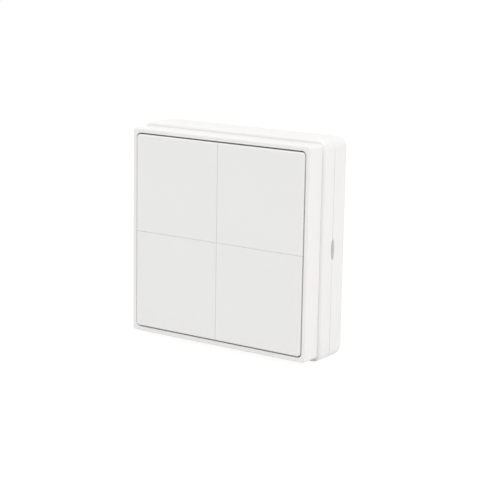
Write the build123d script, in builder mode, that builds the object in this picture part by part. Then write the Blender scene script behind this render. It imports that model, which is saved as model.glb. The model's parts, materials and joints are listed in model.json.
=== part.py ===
from build123d import *
import os
from math import cos, pi, sin

# Wireless wall switch, in millimetres. +Z is up and the wall is the plane y = 0.
# The switch stands out from the wall towards -Y, so a height off the wall h is the plane y = -h.
# The origin is the centre of the face that rests on the wall.

# Driving sizes, seen from the room
frame_size = 80.0        # front frame, across
body_size = 83.0         # wall base and housing, across
wall_seam = 9.3          # height of the seam between wall base and housing
frame_seam = 15.7        # height of the seam between housing and front frame
frame_face = 24.0        # height of the front frame's face
key_proud = 0.5          # the keys stand this far out of the frame

# Corners and edges
body_corner = 3.9
frame_corner = 1.5
opening_corner = 1.8
back_round = 2.0         # edge of the wall base that meets the wall
seam_edge = 0.25         # bevelled housing edge on the seam with the wall base
rim_edge = 0.12          # bevelled wall base edge on that seam
shoulder_round = 1.2     # housing edge behind the front frame
frame_round = 0.6        # front edge of the frame
frame_heel = 0.1         # bevelled frame edge that meets the housing
lip_edge = 0.15          # bevelled frame edge round the keys

# Walls that several pieces share
bezel = 1.78             # width of the frame's face, which is also the frame's wall
rib = 1.0                # thickness of stiffening ribs
sheet = 0.4              # sheet metal of latches and battery contacts

# Wall base
base_floor = 2.0
base_wall = 2.2
shadow_gap = 0.12        # the seam stands open this far, so that it shows as an even line
shadow_depth = 1.0
base_rib_height = 2.0
base_rib_place = 20.0    # the long ribs lie this far above and below the middle
short_rib_place = 13.0   # distance of the short ribs from the upright centre line
screw_pitch = 60.0
screw_hole = 4.2
slot_length = 5.6
seat_width = 2.0         # raised seat round a wall screw's hole
seat_height = 0.5
post_place = 32.0        # locating posts, board screws and their bosses lie on this square
post_size = 4.6          # the posts are square
post_height = 5.0
post_lead = 0.6          # chamfer at a post's end
pry_length = 8.0
pry_width = 2.2
pry_shift = 0.1          # the pry slot's centre lies this far behind the seam
pry_up = 0.5             # and this far above the level centre line

# Snap latches
latch_row = 14.0         # the latches stand this far above and below the middle
latch_width = 8.0
latch_stem = 36.6        # distance of a latch's upright strip from the middle
latch_tip = 38.3         # distance of a latch's bead from the middle
latch_height = 7.3       # height of the bead
bead_rise = 1.1          # the bead starts this far below its tip
bead_fall = 1.3          # and ends this far above it
latch_bend = 0.5
latch_foot = 2.5         # the foot reaches this far inwards past its stake
window_height = 2.2      # window in the skirt that a bead snaps into
stake_place = 34.0       # distance of the heat stakes from the middle
stake_radius = 0.9
stake_sides = 12
stake_head = 1.6
stake_head_height = 0.6
stake_play = 0.05

# Housing
skirt_end = 5.3          # the skirt reaches down to here, inside the wall base
skirt_gap = 0.25
skirt_wall = 1.4
deck_back = 13.2
deck_front = 14.2
spigot_top = 18.6
spigot_gap = 0.12
spigot_wall = 1.3
sleeve_wall = 1.05
sleeve_gap = 0.15
sleeve_depth = 3.5
boss_radius = 2.5
pad_size = 7.0           # square pads round the bosses, which the board lies on
pilot_radius = 0.85      # hole for a board screw
pilot_depth = 5.0
tray_wall = 1.0
tray_end = 2.6           # height of the tray's rim off the wall
notch_width = 14.0       # finger notch across the tray
notch_depth = 3.4
deck_rib_depth = 2.4

# Catches of the front frame
catch_place = 24.0       # distance of a catch from the middle of its side
catch_back = 16.4
catch_front = 17.5
catch_reach = 0.9
catch_width = 6.4
catch_slope = 0.4        # bevel that lets a catch slide in
catch_root = 0.3         # a catch starts this deep in the frame's wall
catch_play = 0.1         # play in front of a catch and behind it
catch_side_play = 0.3

# Keys
side_gap = 0.36          # gap between frame and keys at the sides
end_gap = 0.52           # the same above and below the keys, where they swing
mid_gap = 0.07           # gap between two keys
key_skin = 1.7
key_wall = 1.2
key_wall_depth = 2.0
key_edge = 0.6           # rounded outer edge of a key
key_inner_edge = 0.1     # bevelled edge between two keys
key_rib_depth = 1.2
key_rib_across = 13.0    # distance between a key's two upright ribs
key_rib_up = 16.0        # and between its two level ribs
key_pocket_corner = 0.8
key_post_size = 2.6      # square post over the switch plunger
hook_place = 33.4        # distance of the stop hook from the level centre line
hook_wall = 1.4
hook_width = 6.0
hook_reach = 0.9
hook_end = 16.9          # height of the hook's tip
hook_play = 0.1
hook_bevel = 0.4

# Key hinges: a pin on each arm of a key turns in an ear of the carrier
hinge_height = 20.4
hinge_place = 4.0        # distance of the hinge axis from the level centre line
pin_radius = 1.1
pin_play = 0.05
ear_place = 12.0         # distance of an ear from the middle of its key
ear_width = 1.6
ear_radius = 1.9
arm_width = 1.4
arm_radius = 1.8
arm_gap = 0.2
pin_short = 0.1          # a pin ends this far inside its ear's outer face
overlap = 0.2            # how deep forms of one piece run into each other

# Board, push switches and carrier
board_back = 14.4
board_front = 16.0
board_size = 72.6
carrier_back = 17.8
carrier_front = 19.2
carrier_size = 73.0
carrier_corner = 1.5
switch_window = 7.2      # window of the carrier over a push switch
view_window = (11.0, 20.0)   # window of the carrier over the radio, and over the chip
view_window_pitch = 38.0
leg_across = 17.0        # distance between the carrier's legs, which press the board down
leg_up = 62.0
leg_size = 2.6
lever = 17.0             # from the hinge axis to the plunger
switch_side = 6.0
switch_top = 19.5
plunger_radius = 1.75
plunger_top = 20.9
plunger_root = 18.7
press_play = 0.05        # play between a key's post and its plunger

# Cells and contacts
cell_radius = 5.25
cell_length = 44.5
cell_edge = 0.4
nub_length = 0.8
nub_radius = 1.9
cell_height = 8.0        # height of the cells' axes off the wall
cell_place = 5.95        # distance of the cells' axes from the middle
trough_radius = 5.45
trough_end = 25.0
dome_height = 1.35
strip_height = 6.5       # height of the strip that joins the bridge contact's plates
strip_width = 3.6
strip_length = 4.0
tail_width = 2.0
tail_slot = (sheet + 0.3, tail_width + 0.6)

# Sizes that follow from these
key_face = frame_face + key_proud
key_back = key_face - key_skin
opening = frame_size - 2 * bezel
key_width = opening / 2 - side_gap - mid_gap / 2
key_height = opening / 2 - end_gap - mid_gap / 2
key_across = (key_width + mid_gap) / 2
key_up = (key_height + mid_gap) / 2
key_corner = opening_corner - side_gap
switch_place = hinge_place + lever
inner_body = body_size - 2 * base_wall
skirt_size = inner_body - 2 * skirt_gap
skirt_inside = skirt_size - 2 * skirt_wall
sleeve_inside = post_size + 2 * sleeve_gap
spigot_size = opening - 2 * spigot_gap
spigot_inside = spigot_size - 2 * spigot_wall
tray_length = 2 * (trough_end + tray_wall)
tray_width = 2 * (cell_place + trough_radius + tray_wall)


def level(height):
    """Sketch plane at a height off the wall, with X to the right, Z up and its normal into the room."""
    return Plane.XZ.offset(height)


def upright(x):
    """Sketch plane across the switch. Its first coordinate is y, so a height h is written as -h."""
    return Plane.YZ.offset(x)


def four_corners(place):
    """The four points of the square with the locating posts and board screws, or a like square."""
    return GridLocations(2 * place, 2 * place, 2, 2)


os.makedirs("parts", exist_ok=True)


# Wall base: an open tray, screwed to the wall through its floor

with BuildPart() as wall_base:
    with BuildSketch(level(0)):
        RectangleRounded(body_size, body_size, body_corner)
    extrude(amount=wall_seam - shadow_gap)
    rims = wall_base.edges().filter_by(Plane.XZ).group_by(Axis.Y)
    fillet(rims[-1], radius=back_round)
    rims = wall_base.edges().filter_by(Plane.XZ).group_by(Axis.Y)
    chamfer(rims[0], length=rim_edge)
    # The rim that the housing sits on, set back from the outside
    rim_size = body_size - 2 * shadow_depth
    with BuildSketch(level(wall_seam - shadow_gap)):
        RectangleRounded(rim_size, rim_size, body_corner - shadow_depth)
    extrude(amount=shadow_gap)
    with BuildSketch(level(base_floor)):
        RectangleRounded(inner_body, inner_body, body_corner - base_wall)
    extrude(amount=wall_seam - base_floor, mode=Mode.SUBTRACT)
    # Stiffening ribs on the floor, clear of the battery tray
    with BuildSketch(level(base_floor)):
        with GridLocations(0, 2 * base_rib_place, 1, 2):
            Rectangle(inner_body, rib)
        with GridLocations(2 * short_rib_place, inner_body / 2 + base_rib_place, 2, 2):
            Rectangle(rib, inner_body / 2 - base_rib_place)
    extrude(amount=base_rib_height)
    # Raised seats round the wall screws
    with BuildSketch(level(base_floor)):
        with GridLocations(screw_pitch, 0, 2, 1):
            SlotOverall(slot_length + 2 * seat_width, screw_hole + 2 * seat_width)
        with GridLocations(0, screw_pitch, 1, 2):
            Circle(screw_hole / 2 + seat_width)
    extrude(amount=seat_height)
    # Locating posts for the housing
    with BuildSketch(level(base_floor)):
        with four_corners(post_place):
            Rectangle(post_size, post_size)
    extrude(amount=post_height)
    # Only the rim and its step lie further out than the posts' ends
    posts = wall_base.faces().filter_by(Axis.Y).group_by(Axis.Y)[2]
    chamfer(posts.edges(), length=post_lead)
    # Heat stakes that hold the latches' feet
    with BuildSketch(level(base_floor)):
        with GridLocations(2 * stake_place, 2 * latch_row, 2, 2):
            RegularPolygon(stake_radius, stake_sides)
    extrude(amount=2 * sheet)
    with BuildSketch(level(base_floor + sheet)):
        with GridLocations(2 * stake_place, 2 * latch_row, 2, 2):
            RegularPolygon(stake_head, stake_sides)
    extrude(amount=stake_head_height)
    # Screw slots on the level line and round holes on the upright line
    with BuildSketch(level(0)):
        with GridLocations(screw_pitch, 0, 2, 1):
            SlotOverall(slot_length, screw_hole)
        with GridLocations(0, screw_pitch, 1, 2):
            Circle(screw_hole / 2)
    extrude(amount=base_floor + seat_height, mode=Mode.SUBTRACT)
    # Pry slot, half of it in this wall
    with BuildSketch(upright(body_size / 2)):
        with Locations((pry_shift - wall_seam, pry_up)):
            Ellipse(pry_width / 2, pry_length / 2)
    extrude(amount=-base_wall, mode=Mode.SUBTRACT)

wall_base.part.label = "wall_base"
export_step(wall_base.part, "parts/wall_base.step")


# Snap latches: bent spring strips that grip the windows of the housing's skirt

with BuildPart() as snap_latches:
    for side in (-1, 1):
        for row in (-latch_row, latch_row):
            with BuildSketch(Plane.XY.offset(row)):
                with BuildLine():
                    FilletPolyline(
                        (side * (stake_place - latch_foot), -base_floor - sheet / 2),
                        (side * latch_stem, -base_floor - sheet / 2),
                        (side * latch_stem, -latch_height + bead_rise),
                        (side * latch_tip, -latch_height),
                        (side * (latch_stem + sheet / 2), -latch_height - bead_fall),
                        radius=latch_bend,
                    )
                trace(line_width=sheet)
            extrude(amount=latch_width / 2, both=True)
    with BuildSketch(level(base_floor)):
        with GridLocations(2 * stake_place, 2 * latch_row, 2, 2):
            RegularPolygon(stake_radius + stake_play, stake_sides)
    extrude(amount=sheet, mode=Mode.SUBTRACT)

snap_latches.part.label = "snap_latches"
export_step(snap_latches.part, "parts/snap_latches.step")


# Housing: the visible ring, with the deck, the battery tray and the screw bosses

with BuildPart() as housing:
    with BuildSketch(level(wall_seam)):
        RectangleRounded(body_size, body_size, body_corner)
    extrude(amount=frame_seam - wall_seam)
    rims = housing.edges().filter_by(Plane.XZ).group_by(Axis.Y)
    chamfer(rims[-1], length=seam_edge)
    rims = housing.edges().filter_by(Plane.XZ).group_by(Axis.Y)
    fillet(rims[0], radius=shoulder_round)
    with BuildSketch(level(frame_seam)):
        RectangleRounded(spigot_size, spigot_size, opening_corner - spigot_gap)
    extrude(amount=spigot_top - frame_seam)
    with BuildSketch(level(skirt_end)):
        RectangleRounded(skirt_size, skirt_size, body_corner - base_wall - skirt_gap)
    extrude(amount=wall_seam - skirt_end)
    with BuildSketch(level(skirt_end)):
        RectangleRounded(skirt_inside, skirt_inside, rib)
    extrude(amount=deck_back - skirt_end, mode=Mode.SUBTRACT)
    with BuildSketch(level(deck_front)):
        RectangleRounded(spigot_inside, spigot_inside, rib)
    extrude(amount=spigot_top - deck_front, mode=Mode.SUBTRACT)
    # Battery tray with two open troughs, a finger notch across them, and a notch for the bridge contact
    with BuildSketch(level(tray_end)):
        RectangleRounded(tray_length, tray_width, tray_wall)
    extrude(amount=deck_back - tray_end)
    with BuildSketch(upright(-trough_end)):
        for row in (-cell_place, cell_place):
            with Locations((-cell_height, row)):
                Circle(trough_radius)
            with Locations((-(tray_end + cell_height) / 2, row)):
                Rectangle(cell_height - tray_end, 2 * trough_radius)
    extrude(amount=2 * trough_end, mode=Mode.SUBTRACT)
    with BuildSketch(level(tray_end)):
        RectangleRounded(notch_width, tray_width + 4, 1.5)
    extrude(amount=notch_depth, mode=Mode.SUBTRACT)
    with BuildSketch(upright(-trough_end)):
        with Locations((-strip_height, 0)):
            Rectangle(strip_width + 1.4, strip_length)
    extrude(amount=sheet + 0.2, mode=Mode.SUBTRACT)
    # Pads and screw bosses on the deck, and sleeves below it for the locating posts
    with BuildSketch(level(deck_front)):
        with four_corners(post_place):
            Rectangle(pad_size, pad_size)
    extrude(amount=board_back - deck_front)
    with BuildSketch(level(deck_front)):
        with four_corners(post_place):
            Circle(boss_radius)
    extrude(amount=carrier_back - deck_front)
    with BuildSketch(level(skirt_end)):
        with four_corners(post_place):
            Rectangle(sleeve_inside + 2 * sleeve_wall, sleeve_inside + 2 * sleeve_wall)
    extrude(amount=deck_back - skirt_end)
    with BuildSketch(level(skirt_end)):
        with four_corners(post_place):
            Rectangle(sleeve_inside, sleeve_inside)
    extrude(amount=sleeve_depth, mode=Mode.SUBTRACT)
    with BuildSketch(level(carrier_back)):
        with four_corners(post_place):
            Circle(pilot_radius)
    extrude(amount=-pilot_depth, mode=Mode.SUBTRACT)
    # Ribs below the deck, from the tray to the skirt
    rib_run = (skirt_inside - tray_width) / 2
    end_run = (skirt_inside - tray_length) / 2
    with BuildSketch(level(deck_back)):
        with GridLocations(2 * short_rib_place, skirt_inside - rib_run, 2, 2):
            Rectangle(rib, rib_run)
        with GridLocations(skirt_inside - end_run, 3 * cell_place, 2, 2):
            Rectangle(end_run, rib)
    extrude(amount=-deck_rib_depth)
    # Windows for the latches in the skirt, and for the frame's catches in the spigot
    for side in (-1, 1):
        with BuildSketch(upright(side * skirt_size / 2)):
            with Locations((-latch_height, -latch_row), (-latch_height, latch_row)):
                Rectangle(window_height, latch_width + 1)
        extrude(amount=-side * skirt_wall, mode=Mode.SUBTRACT)
    for turn in (0, 90, 180, 270):
        side_plane = Plane.XZ.rotated((0, turn, 0)).offset(catch_back - catch_play)
        with BuildSketch(side_plane):
            with Locations((-catch_place, spigot_size / 2), (catch_place, spigot_size / 2)):
                Rectangle(catch_width + 2 * catch_side_play, 2 * spigot_wall + 1)
        extrude(amount=catch_front - catch_back + 2 * catch_play, mode=Mode.SUBTRACT)
    # Slots for the contacts' tails in the deck
    with BuildSketch(level(deck_back)):
        with Locations((trough_end - sheet / 2, -cell_place), (trough_end - sheet / 2, cell_place)):
            Rectangle(*tail_slot)
    extrude(amount=deck_front - deck_back, mode=Mode.SUBTRACT)
    # Pry slot, the other half
    with BuildSketch(upright(body_size / 2)):
        with Locations((pry_shift - wall_seam, pry_up)):
            Ellipse(pry_width / 2, pry_length / 2)
    extrude(amount=-base_wall - skirt_gap, mode=Mode.SUBTRACT)

housing.part.label = "housing"
export_step(housing.part, "parts/housing.step")


# Front frame: a thin square ring, held by catches that snap into the housing's spigot

with BuildPart() as front_frame:
    with BuildSketch(level(frame_seam)):
        RectangleRounded(frame_size, frame_size, frame_corner)
    extrude(amount=frame_face - frame_seam)
    rims = front_frame.edges().filter_by(Plane.XZ).group_by(Axis.Y)
    fillet(rims[0], radius=frame_round)
    rims = front_frame.edges().filter_by(Plane.XZ).group_by(Axis.Y)
    chamfer(rims[-1], length=frame_heel)
    with BuildSketch(level(frame_seam)):
        RectangleRounded(opening, opening, opening_corner)
    extrude(amount=frame_face - frame_seam, mode=Mode.SUBTRACT)
    mouth = front_frame.faces().filter_by(Axis.Y).sort_by(Axis.Y)[0].inner_wires()[0]
    chamfer(mouth.edges(), length=lip_edge)
    for turn in (0, 90, 180, 270):
        for place in (-catch_place, catch_place):
            with BuildSketch(Plane.YZ.rotated((0, turn, 0)).offset(place)):
                with BuildLine():
                    Polyline(
                        (-catch_back, opening / 2 + catch_root),
                        (-catch_back, opening / 2 - catch_reach + catch_slope),
                        (-catch_back - catch_slope, opening / 2 - catch_reach),
                        (-catch_front, opening / 2 - catch_reach),
                        (-catch_front, opening / 2 + catch_root),
                        close=True,
                    )
                make_face()
            extrude(amount=catch_width / 2, both=True)

front_frame.part.label = "front_frame"
export_step(front_frame.part, "parts/front_frame.step")


# Keys: the top right one is made, and the others are its mirror images

with BuildPart() as key_top_right:
    with BuildSketch(level(key_back - key_wall_depth)) as key_outline:
        with Locations((key_across, key_up)):
            Rectangle(key_width, key_height)
        fillet(key_outline.vertices().sort_by_distance((0, 0, 0))[-1], radius=key_corner)
    extrude(amount=key_skin + key_wall_depth)
    face_edges = key_top_right.edges().filter_by(Plane.XZ).group_by(Axis.Y)[0]
    outer_edges = face_edges.filter_by(lambda edge: max(edge.center().X, edge.center().Z) > key_height - 1)
    fillet(outer_edges, radius=key_edge)
    face_edges = key_top_right.edges().filter_by(Plane.XZ).group_by(Axis.Y)[0]
    inner_edges = face_edges.filter_by(lambda edge: min(edge.center().X, edge.center().Z) < mid_gap)
    chamfer(inner_edges, length=key_inner_edge)
    with BuildSketch(level(key_back - key_wall_depth)):
        with Locations((key_across, key_up)):
            RectangleRounded(key_width - 2 * key_wall, key_height - 2 * key_wall, key_pocket_corner)
    extrude(amount=key_wall_depth, mode=Mode.SUBTRACT)
    # Ribs behind the skin
    with BuildSketch(level(key_back)):
        with Locations((key_across, key_up)):
            with GridLocations(key_rib_across, 0, 2, 1):
                Rectangle(rib, key_height - key_wall)
            with GridLocations(0, key_rib_up, 1, 2):
                Rectangle(key_width - key_wall, rib)
    extrude(amount=-key_rib_depth)
    # Post over the switch plunger
    with BuildSketch(level(plunger_top + press_play)):
        with Locations((key_across, switch_place)):
            Rectangle(key_post_size, key_post_size)
    extrude(amount=key_back - plunger_top)
    # Arms with hinge pins that point away from the middle of the key
    for side in (-1, 1):
        arm_face = key_across + side * (ear_place - ear_width / 2 - arm_gap)
        with BuildSketch(upright(arm_face)):
            with Locations((-hinge_height, hinge_place)):
                Circle(arm_radius)
            with Locations((-(hinge_height + key_back) / 2, hinge_place)):
                Rectangle(key_back - hinge_height + overlap, 2 * arm_radius)
        extrude(amount=-side * arm_width)
        with BuildSketch(upright(arm_face)):
            with Locations((-hinge_height, hinge_place)):
                Circle(pin_radius)
        extrude(amount=side * (arm_gap + ear_width - pin_short))
    # Stop hook near the outer edge, which holds the key in under the carrier
    barb = carrier_back - hook_play
    with BuildSketch(upright(key_across)):
        with BuildLine():
            Polyline(
                (-key_back - overlap / 2, hook_place),
                (-key_back - overlap / 2, hook_place + hook_wall),
                (-hook_end, hook_place + hook_wall),
                (-hook_end, hook_place + hook_bevel),
                (-hook_end - hook_bevel, hook_place - hook_reach),
                (-barb, hook_place - hook_reach),
                (-barb, hook_place),
                close=True,
            )
        make_face()
    extrude(amount=hook_width / 2, both=True)

with BuildPart() as key_top_left:
    mirror(key_top_right.part, about=Plane.YZ)

with BuildPart() as key_bottom_right:
    mirror(key_top_right.part, about=Plane.XY)

with BuildPart() as key_bottom_left:
    mirror(key_top_left.part, about=Plane.XY)

keys = {
    "key_top_right": key_top_right,
    "key_top_left": key_top_left,
    "key_bottom_right": key_bottom_right,
    "key_bottom_left": key_bottom_left,
}
for name, key in keys.items():
    key.part.label = name
    export_step(key.part, f"parts/{name}.step")


# Key carrier: a plate on the housing's bosses, with an ear at each side of each key

with BuildPart() as key_carrier:
    with BuildSketch(level(carrier_back)):
        RectangleRounded(carrier_size, carrier_size, carrier_corner)
        # Windows for the push switches, the stop hooks and the arms
        with GridLocations(2 * key_across, 2 * switch_place, 2, 2):
            Rectangle(switch_window, switch_window, mode=Mode.SUBTRACT)
        with GridLocations(2 * key_across, 2 * hook_place + hook_wall + 0.2, 2, 2):
            Rectangle(hook_width + 2, hook_wall + 0.6, mode=Mode.SUBTRACT)
        with GridLocations(2 * key_across, 2 * hinge_place, 2, 2):
            with GridLocations(2 * (ear_place - arm_gap) - ear_width - arm_width, 0, 2, 1):
                Rectangle(arm_width + 0.6, 2 * arm_radius + 0.8, mode=Mode.SUBTRACT)
        # Windows over the radio and the control chip
        with GridLocations(0, view_window_pitch, 1, 2):
            Rectangle(*view_window, mode=Mode.SUBTRACT)
        with four_corners(post_place):
            Circle(pilot_radius + 0.4, mode=Mode.SUBTRACT)
    extrude(amount=carrier_front - carrier_back)
    ear_rise = hinge_height - carrier_front
    for side in (-1, 1):
        for end in (-1, 1):
            with BuildSketch(upright(side * key_across + end * ear_place)):
                for row in (-hinge_place, hinge_place):
                    with Locations((-hinge_height, row)):
                        Circle(ear_radius)
                    with Locations((-hinge_height + (ear_rise + overlap) / 2, row)):
                        Rectangle(ear_rise + overlap, 2 * ear_radius)
                    with Locations((-hinge_height, row)):
                        Circle(pin_radius + pin_play, mode=Mode.SUBTRACT)
            extrude(amount=ear_width / 2, both=True)
    # Legs that press the board down
    with BuildSketch(level(board_front)):
        with GridLocations(leg_across, leg_up, 2, 2):
            Rectangle(leg_size, leg_size)
    extrude(amount=carrier_back - board_front)

key_carrier.part.label = "key_carrier"
export_step(key_carrier.part, "parts/key_carrier.step")


# Screws that hold carrier and board to the housing

screw_head = 1.3
screw_head_radius = 2.0
screw_length = 6.0
cross = (2.2, 0.5)       # cross recess: length and width of its arms

with BuildPart() as carrier_screws:
    with BuildSketch(level(carrier_front)):
        with four_corners(post_place):
            Circle(screw_head_radius)
    extrude(amount=screw_head)
    chamfer(carrier_screws.edges().group_by(Axis.Y)[0], length=0.5)
    with BuildSketch(level(carrier_front)):
        with four_corners(post_place):
            Circle(pilot_radius)
    extrude(amount=-screw_length)
    with BuildSketch(level(carrier_front + screw_head)):
        with four_corners(post_place):
            Rectangle(*cross)
            Rectangle(*reversed(cross))
    extrude(amount=-screw_head / 2, mode=Mode.SUBTRACT)

carrier_screws.part.label = "carrier_screws"
export_step(carrier_screws.part, "parts/carrier_screws.step")


# Circuit board, with holes for the bosses and slots for the contacts' tails

with BuildPart() as circuit_board:
    with BuildSketch(level(board_back)):
        RectangleRounded(board_size, board_size, 1.0)
        with four_corners(post_place):
            Circle(boss_radius + 0.2, mode=Mode.SUBTRACT)
        with Locations((trough_end - sheet / 2, -cell_place), (trough_end - sheet / 2, cell_place)):
            Rectangle(*tail_slot, mode=Mode.SUBTRACT)
    extrude(amount=board_front - board_back)

circuit_board.part.label = "circuit_board"
export_step(circuit_board.part, "parts/circuit_board.step")


# Push switches: one body and one plunger under each key

foot_pitch = 4.5
foot_size = (1.6, 0.7)
foot_height = 0.3
switch_edge = 0.3
plunger_edge = 0.2

corners = {
    "top_left": (-1, 1),
    "top_right": (1, 1),
    "bottom_left": (-1, -1),
    "bottom_right": (1, -1),
}
for corner, (across, up) in corners.items():
    place = (across * key_across, up * switch_place)

    with BuildPart() as switch_body:
        with BuildSketch(level(board_front)):
            with Locations(place):
                Rectangle(switch_side, switch_side)
        extrude(amount=switch_top - board_front)
        chamfer(switch_body.edges().group_by(Axis.Y)[0], length=switch_edge)
        # Solder feet
        with BuildSketch(level(board_front)):
            with Locations(place):
                with GridLocations(switch_side + 1.4, foot_pitch, 2, 2):
                    Rectangle(*foot_size)
        extrude(amount=foot_height)
        with BuildSketch(level(switch_top)):
            with Locations(place):
                Circle(plunger_radius + 0.1)
        extrude(amount=plunger_root - 0.4 - switch_top, mode=Mode.SUBTRACT)

    switch_body.part.label = f"switch_body_{corner}"
    export_step(switch_body.part, f"parts/switch_body_{corner}.step")

    with BuildPart() as plunger:
        with BuildSketch(level(plunger_root)):
            with Locations(place):
                Circle(plunger_radius)
        extrude(amount=plunger_top - plunger_root)
        chamfer(plunger.edges().group_by(Axis.Y)[0], length=plunger_edge)

    plunger.part.label = f"switch_plunger_{corner}"
    export_step(plunger.part, f"parts/switch_plunger_{corner}.step")


# Radio: a small board, its screening can and the antenna wire

radio_middle = -19.0     # middle of the radio's board, below the level centre line
radio_board = 0.6
radio_size = (10.0, 18.0)
can_size = (9.0, 12.0)
can_up = 1.5             # the can lies this far above the middle of its board
can_height = 1.8
can_edge = 0.3

with BuildPart() as radio_module:
    with BuildSketch(level(board_front)):
        with Locations((0, radio_middle)):
            Rectangle(*radio_size)
    extrude(amount=radio_board)

radio_module.part.label = "radio_module"
export_step(radio_module.part, "parts/radio_module.step")

with BuildPart() as radio_can:
    with BuildSketch(level(board_front + radio_board)):
        with Locations((0, radio_middle + can_up)):
            RectangleRounded(*can_size, 0.5)
    extrude(amount=can_height)
    chamfer(radio_can.edges().group_by(Axis.Y)[0], length=can_edge)

radio_can.part.label = "radio_can"
export_step(radio_can.part, "parts/radio_can.step")

wire_radius = 0.4
wire_height = 17.2
wire_side = -34.5        # the wire runs up the board's left edge
wire_start = (-3, -board_front - radio_board, radio_middle - 7.5)

with BuildPart() as antenna:
    with BuildLine():
        Polyline(
            wire_start,
            (wire_start[0], -wire_height, wire_start[2]),
            (wire_side, -wire_height, wire_start[2]),
            (wire_side, -wire_height, -wire_start[2]),
        )
    with BuildSketch(Plane(origin=wire_start, z_dir=(0, -1, 0))):
        RegularPolygon(wire_radius, 8)
    sweep(transition=Transition.RIGHT)

antenna.part.label = "antenna"
export_step(antenna.part, "parts/antenna.step")


# Control chip, with its pins along all four sides

chip_middle = 20.0
chip_side = 7.0
chip_body = 1.0
chip_lift = 0.1          # gap under the chip's body
pin_pitch = 0.8
pin_count = 8            # along each side
pin_size = (1.2, 0.35)
pin_thick = 0.2

with BuildPart() as control_chip:
    with BuildSketch(level(board_front + chip_lift)):
        with Locations((0, chip_middle)):
            Rectangle(chip_side, chip_side)
    extrude(amount=chip_body)
    chamfer(control_chip.edges().group_by(Axis.Y)[0], length=pin_thick)
    with BuildSketch(level(board_front)):
        with Locations((0, chip_middle)):
            with GridLocations(chip_side + pin_pitch, pin_pitch, 2, pin_count):
                Rectangle(*pin_size)
            with GridLocations(pin_pitch, chip_side + pin_pitch, pin_count, 2):
                Rectangle(*reversed(pin_size))
    extrude(amount=pin_thick)

control_chip.part.label = "control_chip"
export_step(control_chip.part, "parts/control_chip.step")


# Cells: the upper one has its positive end on the right, the lower one on the left

nub_tip = trough_end - sheet - dome_height

for name, end, row in (("battery_upper", 1, cell_place), ("battery_lower", -1, -cell_place)):
    with BuildPart() as battery:
        with BuildSketch(upright(end * (nub_tip - nub_length))):
            with Locations((-cell_height, row)):
                Circle(cell_radius)
        extrude(amount=-end * (cell_length - nub_length))
        chamfer(battery.edges().filter_by(GeomType.CIRCLE), length=cell_edge)
        with BuildSketch(upright(end * (nub_tip - nub_length))):
            with Locations((-cell_height, row)):
                Circle(nub_radius)
        extrude(amount=end * nub_length)

    battery.part.label = name
    export_step(battery.part, f"parts/{name}.step")


# Battery contacts, bent from sheet metal

plate_low = 4.5
plate_high = 11.2
plate_width = 8.4
tail_top = board_front + 0.6
dome_base = 2.6
dome_taper = 44.0

contacts = (
    ("positive_contact", 1, (cell_place,), cell_place),
    ("negative_contact", 1, (-cell_place,), None),
    ("bridge_contact", -1, (-cell_place, cell_place), -cell_place),
)
for name, end, rows, dome_row in contacts:
    with BuildPart() as contact:
        with BuildSketch(upright(end * (trough_end - sheet))):
            for row in rows:
                with Locations((-(plate_low + plate_high) / 2, row)):
                    Rectangle(plate_high - plate_low, plate_width)
            if len(rows) == 2:
                with Locations((-strip_height, 0)):
                    Rectangle(strip_width, strip_length)
            else:
                # Solder tail, up through deck and board
                with Locations((-(plate_high + tail_top - overlap) / 2, rows[0])):
                    Rectangle(tail_top - plate_high + overlap, tail_width)
        extrude(amount=end * sheet)
        if dome_row is not None:
            # Pressed dome that touches the nub of a cell
            with BuildSketch(upright(end * (trough_end - sheet))):
                with Locations((-cell_height, dome_row)):
                    Circle(dome_base)
            extrude(amount=-end * dome_height, taper=dome_taper)

    contact.part.label = name
    export_step(contact.part, f"parts/{name}.step")


# Contact springs: conical coils between a plate and the flat end of a cell

spring_wire = 0.25
spring_turns = 2.5
spring_wide = 2.9
spring_narrow = 1.7
cell_flat = cell_length - nub_tip
spring_run = trough_end - sheet - cell_flat - 2 * spring_wire
quarters = int(4 * spring_turns)
spring_draw = (spring_wide - spring_narrow) / quarters

for name, end, row in (("bridge_spring", -1, cell_place), ("negative_spring", 1, -cell_place)):
    # Points a quarter turn apart, joined by tangent arcs
    points = []
    for quarter in range(quarters + 1):
        radius = spring_wide - spring_draw * quarter
        angle = quarter * pi / 2
        points.append((
            end * (trough_end - sheet - spring_wire - spring_run * quarter / quarters),
            radius * cos(angle) - cell_height,
            radius * sin(angle) + row,
        ))
    first_tangent = (-end * spring_run / quarters, -spring_draw, spring_wide * pi / 2)
    with BuildPart() as spring:
        with BuildLine() as coil:
            arc = TangentArc(points[0], points[1], tangent=first_tangent)
            for start, stop in zip(points[1:], points[2:]):
                arc = TangentArc(start, stop, tangent=arc % 1)
        with BuildSketch(Plane(origin=coil.line @ 0, z_dir=coil.line % 0)):
            RegularPolygon(spring_wire, 6)
        sweep()

    spring.part.label = name
    export_step(spring.part, f"parts/{name}.step")
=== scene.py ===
"""Looks of the wireless wall switch: materials, camera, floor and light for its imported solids."""
import json
from math import cos, radians, sin

import bpy
from mathutils import Matrix, Vector


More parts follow.
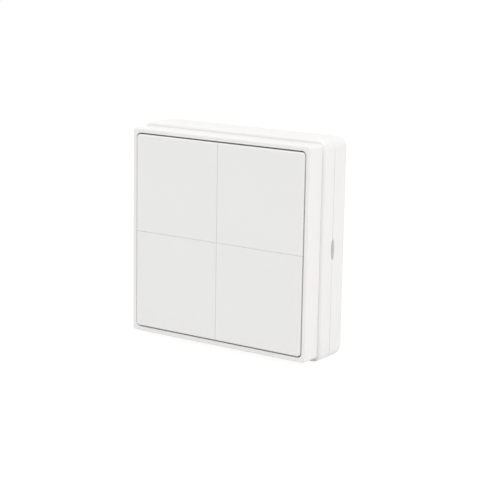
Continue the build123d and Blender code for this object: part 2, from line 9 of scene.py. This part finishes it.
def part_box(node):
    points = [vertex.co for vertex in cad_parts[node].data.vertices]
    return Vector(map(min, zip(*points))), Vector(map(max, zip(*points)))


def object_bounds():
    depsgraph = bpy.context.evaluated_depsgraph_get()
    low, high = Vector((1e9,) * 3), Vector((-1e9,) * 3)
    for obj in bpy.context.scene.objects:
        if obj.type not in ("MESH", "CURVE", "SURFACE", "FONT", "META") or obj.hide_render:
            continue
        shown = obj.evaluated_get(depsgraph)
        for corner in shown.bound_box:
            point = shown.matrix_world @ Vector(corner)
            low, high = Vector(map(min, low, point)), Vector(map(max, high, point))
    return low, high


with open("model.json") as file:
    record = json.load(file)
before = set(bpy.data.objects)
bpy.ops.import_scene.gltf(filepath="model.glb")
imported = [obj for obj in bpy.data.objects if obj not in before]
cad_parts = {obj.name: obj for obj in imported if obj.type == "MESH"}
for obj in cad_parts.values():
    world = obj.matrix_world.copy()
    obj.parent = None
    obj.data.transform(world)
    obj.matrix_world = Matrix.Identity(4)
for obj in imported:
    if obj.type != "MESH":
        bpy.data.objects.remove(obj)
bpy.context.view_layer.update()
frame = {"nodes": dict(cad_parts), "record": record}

MM = 0.001

# Camera, fitted to the picture: angles in degrees, lengths in millimetres
IMAGE_PIXELS = 480
SENSOR_MM = 36.0
FOCAL_PIXELS = 1529.2
CAMERA_YAW = 34.224
CAMERA_PITCH = 11.748
CAMERA_ROLL = 0.965
CAMERA_RIGHT = -8.608      # where the middle of the front frame's face lies, seen from the camera
CAMERA_UP = -1.035
CAMERA_DISTANCE = 572.56

# Surroundings and floor
AMBIENT = 0.64             # strength of the even light on the switch
FLOOR_SIZE = 6.0           # in metres
FLOOR_COLOUR = (0.90, 0.90, 0.90, 1.0)
FLOOR_ROUGHNESS = 0.9
FLOOR_SPECULAR = 0.2
FLOOR_GLOW = 1.05
FLOOR_SHOW = 0.10          # how much of the floor's own shading the camera sees over the white
LAMP_WHITE = (1.0, 1.0, 1.0)
LAMP_WARM = (1.0, 0.98, 0.965)

# White plastics
KEY_WHITE = (0.845, 0.843, 0.831)
FRAME_WHITE = (0.866, 0.855, 0.844)
SHELL_WHITE = (0.859, 0.850, 0.842)

# Moulded plastic: sizes in millimetres, and the share by which its colour drifts either way
PLASTIC_IOR = 1.46
CLOUD_SIZE = 22.0
CLOUD_SHARE = 0.006
GRAIN_SIZE = 0.25
FINE_GRAIN_SIZE = 0.1
GRAIN_DEPTH = 0.0015

# Metal: sizes in millimetres. Its fine lines run the way that the stretch is smallest.
TINT_SIZE = 6.0
LINE_WIDTH = 0.15
LINE_DEPTH = 0.001
LINES_ALONG_Y = (1.0, 0.07, 1.0)
LINES_ALONG_Z = (1.0, 1.0, 0.07)
NO_STRETCH = (1.0, 1.0, 1.0)
METAL_ROUGHNESS = (0.25, 0.40)

# Solder mask: sizes in millimetres. The tracks are lines between scattered squares.
MASK_CLOUD_SIZE = 14.0
MASK_RIPPLE_SIZE = 2.0
MASK_ROUGHNESS = (0.22, 0.32)
TRACK_PITCH = 7.0
TRACK_SCATTER = 0.7        # 0 is an even grid, 1 is fully random
TRACK_SHARE = 0.04         # width of a track as a share of the pitch
TRACK_HEIGHT = 0.02
TRACK_SHADE = 1.3          # how much paler the mask is over a track

# Cells: their place in metres, as in the solids, and the sizes of their surface in millimetres
CELL_HEIGHT = 8.0 * MM
CELL_PLACE = 5.95 * MM
CELL_BARE_END = 4.7 * MM   # radius inside which the wrap leaves a cell's ends bare
WRAP_CLOUD_SIZE = 9.0
WRAP_RIPPLE_SIZE = 1.2
WRAP_ROUGHNESS = (0.20, 0.30)


# Node helpers

def new_material(name):
    """Empty node material with its Principled shader."""
    material = bpy.data.materials.new(name)
    material.use_nodes = True
    tree = material.node_tree
    shader = tree.nodes["Principled BSDF"]
    return material, tree, shader


def place_on_object(tree, stretch=NO_STRETCH, turn=(0.0, 0.0, 0.0)):
    """Coordinates that are fixed to the object, stretched and turned."""
    place = tree.nodes.new("ShaderNodeTexCoord")
    mapping = tree.nodes.new("ShaderNodeMapping")
    mapping.inputs["Scale"].default_value = stretch
    mapping.inputs["Rotation"].default_value = turn
    tree.links.new(place.outputs["Object"], mapping.inputs["Vector"])
    return mapping.outputs["Vector"]


def noise(tree, size_mm, detail=3.0, roughness=0.5, stretch=NO_STRETCH):
    """Noise with features of about a given size."""
    texture = tree.nodes.new("ShaderNodeTexNoise")
    texture.inputs["Scale"].default_value = 1.0 / (size_mm * MM)
    texture.inputs["Detail"].default_value = detail
    texture.inputs["Roughness"].default_value = roughness
    tree.links.new(place_on_object(tree, stretch), texture.inputs["Vector"])
    return texture.outputs["Fac"]


def spread(tree, factor, low, high, start=0.3, stop=0.7):
    """Maps a factor to a range. The usual start and stop are the middle of a noise."""
    node = tree.nodes.new("ShaderNodeMapRange")
    node.inputs["From Min"].default_value = start
    node.inputs["From Max"].default_value = stop
    node.inputs["To Min"].default_value = low
    node.inputs["To Max"].default_value = high
    tree.links.new(factor, node.inputs["Value"])
    return node.outputs["Result"]


def maths(tree, operation, first, second=0.0):
    """Result of a maths node. Each operand is a socket or a number."""
    node = tree.nodes.new("ShaderNodeMath")
    node.operation = operation
    for index, operand in enumerate((first, second)):
        if isinstance(operand, (int, float)):
            node.inputs[index].default_value = operand
        else:
            tree.links.new(operand, node.inputs[index])
    return node.outputs[0]


def two_colours(tree, factor, dark, light):
    """Blend of two colours by a factor. Each colour is a socket or three numbers."""
    node = tree.nodes.new("ShaderNodeMix")
    node.data_type = "RGBA"
    for name, colour in (("A", dark), ("B", light)):
        if isinstance(colour, tuple):
            node.inputs[name].default_value = (*colour, 1.0)
        else:
            tree.links.new(colour, node.inputs[name])
    tree.links.new(factor, node.inputs["Factor"])
    return node.outputs["Result"]


def shade(colour, factor):
    """Colour made darker or lighter by a factor."""
    return tuple(min(channel * factor, 1.0) for channel in colour)


def clouded(tree, colour, size_mm, darkest, lightest, detail=3.0):
    """Colour that drifts between two shades of itself, in clouds of about a given size."""
    drift = spread(tree, noise(tree, size_mm, detail), 0.0, 1.0)
    return two_colours(tree, drift, shade(colour, darkest), shade(colour, lightest))


def bump(tree, height, depth_mm, shader):
    """Relief of a given depth from a height factor."""
    node = tree.nodes.new("ShaderNodeBump")
    node.inputs["Strength"].default_value = 1.0
    node.inputs["Distance"].default_value = depth_mm * MM
    tree.links.new(height, node.inputs["Height"])
    tree.links.new(node.outputs["Normal"], shader.inputs["Normal"])


# Materials

def plastic(name, colour, rough=(0.40, 0.48), grain_mm=GRAIN_SIZE):
    """Moulded plastic with a fine spark-eroded grain and a trace of uneven colour."""
    material, tree, shader = new_material(name)
    blend = clouded(tree, colour, CLOUD_SIZE, 1 - CLOUD_SHARE, 1 + CLOUD_SHARE, detail=2.0)
    tree.links.new(blend, shader.inputs["Base Color"])
    grain = noise(tree, grain_mm, detail=4.0, roughness=0.6)
    tree.links.new(spread(tree, grain, *rough), shader.inputs["Roughness"])
    bump(tree, grain, GRAIN_DEPTH, shader)
    shader.inputs["IOR"].default_value = PLASTIC_IOR
    return material


def metal(name, colour, stretch=LINES_ALONG_Z):
    """Rolled sheet or drawn wire, with fine lines and a slightly uneven tint."""
    material, tree, shader = new_material(name)
    lines = noise(tree, LINE_WIDTH, detail=5.0, stretch=stretch)
    blend = clouded(tree, colour, TINT_SIZE, darkest=0.92, lightest=1.05)
    tree.links.new(blend, shader.inputs["Base Color"])
    tree.links.new(spread(tree, lines, *METAL_ROUGHNESS), shader.inputs["Roughness"])
    bump(tree, lines, LINE_DEPTH, shader)
    shader.inputs["Metallic"].default_value = 1.0
    return material


def square_cells(tree, feature):
    """Distance to the nearest or second nearest of scattered points on the board's plane."""
    cells = tree.nodes.new("ShaderNodeTexVoronoi")
    cells.voronoi_dimensions = "2D"
    cells.distance = "CHEBYCHEV"
    cells.feature = feature
    cells.inputs["Scale"].default_value = 1.0 / (TRACK_PITCH * MM)
    cells.inputs["Randomness"].default_value = TRACK_SCATTER
    tree.links.new(place_on_object(tree, turn=(radians(90), 0.0, 0.0)), cells.inputs["Vector"])
    return cells.outputs["Distance"]


def solder_mask(name, colour):
    """Circuit board: glossy mask over copper tracks, which show as paler lines with square bends."""
    material, tree, shader = new_material(name)
    nearest = square_cells(tree, "F1")
    second = square_cells(tree, "F2")
    tracks = maths(tree, "LESS_THAN", maths(tree, "SUBTRACT", second, nearest), TRACK_SHARE)
    mask = clouded(tree, colour, MASK_CLOUD_SIZE, darkest=0.93, lightest=1.07)
    tree.links.new(two_colours(tree, tracks, mask, shade(colour, TRACK_SHADE)), shader.inputs["Base Color"])
    tree.links.new(spread(tree, noise(tree, MASK_RIPPLE_SIZE), *MASK_ROUGHNESS), shader.inputs["Roughness"])
    bump(tree, tracks, TRACK_HEIGHT, shader)
    return material


def cell(name, wrap, steel):
    """Battery: a plain shrunk wrap that leaves the steel of both ends bare."""
    material, tree, shader = new_material(name)
    parts = tree.nodes.new("ShaderNodeSeparateXYZ")
    tree.links.new(place_on_object(tree), parts.inputs["Vector"])
    height = maths(tree, "ADD", parts.outputs["Y"], CELL_HEIGHT)
    side = maths(tree, "SUBTRACT", maths(tree, "ABSOLUTE", parts.outputs["Z"]), CELL_PLACE)
    square = maths(tree, "ADD", maths(tree, "MULTIPLY", height, height), maths(tree, "MULTIPLY", side, side))
    bare = maths(tree, "LESS_THAN", square, CELL_BARE_END ** 2)
    wrapped = clouded(tree, wrap, WRAP_CLOUD_SIZE, darkest=0.94, lightest=1.06)
    tree.links.new(two_colours(tree, bare, wrapped, steel), shader.inputs["Base Color"])
    tree.links.new(bare, shader.inputs["Metallic"])
    tree.links.new(spread(tree, noise(tree, WRAP_RIPPLE_SIZE), *WRAP_ROUGHNESS), shader.inputs["Roughness"])
    return material


slot_materials = {
    "key_plastic": plastic("key_white", KEY_WHITE, rough=(0.36, 0.44)),
    "frame_plastic": plastic("frame_white", FRAME_WHITE),
    "shell_plastic": plastic("shell_white", SHELL_WHITE),
    "base_plastic": plastic("base_white", SHELL_WHITE, rough=(0.42, 0.50)),
    "inner_plastic": plastic("inner_grey", (0.70, 0.71, 0.72), rough=(0.50, 0.60)),
    "spring_steel": metal("spring_steel", (0.60, 0.60, 0.61)),
    "screw_steel": metal("screw_steel", (0.62, 0.62, 0.64), stretch=NO_STRETCH),
    "board": solder_mask("board_green", (0.03, 0.21, 0.09)),
    "module_board": solder_mask("module_blue", (0.02, 0.07, 0.22)),
    "can_metal": metal("can_tin", (0.66, 0.66, 0.66)),
    "antenna_wire": metal("antenna_copper", (0.72, 0.43, 0.26)),
    "chip_plastic": plastic(
        "chip_black", (0.030, 0.030, 0.033), rough=(0.45, 0.55), grain_mm=FINE_GRAIN_SIZE
    ),
    "switch_plastic": plastic("switch_grey", (0.060, 0.062, 0.068)),
    "plunger_plastic": plastic("plunger_pale", (0.66, 0.66, 0.63)),
    "cell_wrap": cell("cell", wrap=(0.10, 0.12, 0.15), steel=(0.66, 0.66, 0.67)),
    "contact_metal": metal("contact_nickel", (0.68, 0.67, 0.64), stretch=LINES_ALONG_Y),
}

for entry in frame["record"]["subparts"]:
    node = frame["nodes"][entry["node"]]
    node.data.materials.clear()
    node.data.materials.append(slot_materials[entry["material_slot"]])


# Camera

def place_camera():
    """Camera that sees the middle of the front frame's face where the picture has it."""
    yaw, pitch, roll = radians(CAMERA_YAW), radians(CAMERA_PITCH), radians(CAMERA_ROLL)
    forward = Vector((-sin(yaw) * cos(pitch), cos(yaw) * cos(pitch), -sin(pitch)))
    flat_right = Vector((cos(yaw), sin(yaw), 0.0))
    flat_up = flat_right.cross(forward)
    right = cos(roll) * flat_right + sin(roll) * flat_up
    up = -sin(roll) * flat_right + cos(roll) * flat_up
    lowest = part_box("front_frame")[0]
    face = Vector((0.0, lowest.y, 0.0))
    eye = face - (CAMERA_RIGHT * right + CAMERA_UP * up + CAMERA_DISTANCE * forward) * MM
    camera = bpy.data.objects.new("camera", bpy.data.cameras.new("camera"))
    camera.data.sensor_width = SENSOR_MM
    camera.data.sensor_fit = "HORIZONTAL"
    camera.data.lens = FOCAL_PIXELS * SENSOR_MM / IMAGE_PIXELS
    turn = Matrix((right, up, -forward)).transposed().to_4x4()
    camera.matrix_world = Matrix.Translation(eye) @ turn
    bpy.context.scene.collection.objects.link(camera)
    bpy.context.scene.camera = camera


place_camera()


# Floor, surroundings and lamps

def seen_directly(tree):
    """1 for rays that show the background itself: from the camera, in gloss and through glass."""
    rays = tree.nodes.new("ShaderNodeLightPath")
    either = maths(tree, "MAXIMUM", rays.outputs["Is Camera Ray"], rays.outputs["Is Glossy Ray"])
    return maths(tree, "MAXIMUM", either, rays.outputs["Is Transmission Ray"])


def make_floor():
    """Pale floor under the switch, white to the camera but for the switch's soft shadow."""
    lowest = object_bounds()[0]
    half = FLOOR_SIZE / 2
    mesh = bpy.data.meshes.new("floor")
    corners = [(-half, -half), (half, -half), (half, half), (-half, half)]
    mesh.from_pydata([(x, y, lowest[2]) for x, y in corners], [], [(0, 1, 2, 3)])
    floor = bpy.data.objects.new("floor", mesh)
    bpy.context.scene.collection.objects.link(floor)
    material, tree, shader = new_material("floor")
    shader.inputs["Base Color"].default_value = FLOOR_COLOUR
    shader.inputs["Roughness"].default_value = FLOOR_ROUGHNESS
    shader.inputs["Specular IOR Level"].default_value = FLOOR_SPECULAR
    glow = tree.nodes.new("ShaderNodeEmission")
    glow.inputs["Strength"].default_value = FLOOR_GLOW
    mix = tree.nodes.new("ShaderNodeMixShader")
    tree.links.new(maths(tree, "MULTIPLY", seen_directly(tree), 1.0 - FLOOR_SHOW), mix.inputs["Fac"])
    tree.links.new(shader.outputs["BSDF"], mix.inputs[1])
    tree.links.new(glow.outputs["Emission"], mix.inputs[2])
    tree.links.new(mix.outputs["Shader"], tree.nodes["Material Output"].inputs["Surface"])
    mesh.materials.append(material)


def make_world():
    """White behind everything, with its own level of even light on the object."""
    world = bpy.data.worlds.new("studio")
    bpy.context.scene.world = world
    world.use_nodes = True
    tree = world.node_tree
    background = tree.nodes["Background"]
    background.inputs["Color"].default_value = (1.0, 1.0, 1.0, 1.0)
    level = spread(tree, seen_directly(tree), AMBIENT, 1.0, start=0.0, stop=1.0)
    tree.links.new(level, background.inputs["Strength"])


def softbox(name, place, size, power, colour=LAMP_WHITE):
    """Square area lamp that faces the middle of the switch. Metres and watts."""
    lamp = bpy.data.objects.new(name, bpy.data.lights.new(name, "AREA"))
    lamp.data.shape = "SQUARE"
    lamp.data.size = size
    lamp.data.energy = power
    lamp.data.color = colour
    lamp.location = place
    lamp.rotation_euler = (-Vector(place)).to_track_quat("-Z", "Y").to_euler()
    bpy.context.scene.collection.objects.link(lamp)


make_floor()
make_world()
softbox("overhead", place=(-0.1, -0.45, 1.15), size=1.2, power=7.9)
softbox("right_side", place=(1.2, 0.1, 0.3), size=0.8, power=3.7, colour=LAMP_WARM)
softbox("rear_left", place=(-0.9, 0.9, 0.06), size=0.2, power=1.6)

bpy.context.scene.view_settings.view_transform = "Standard"
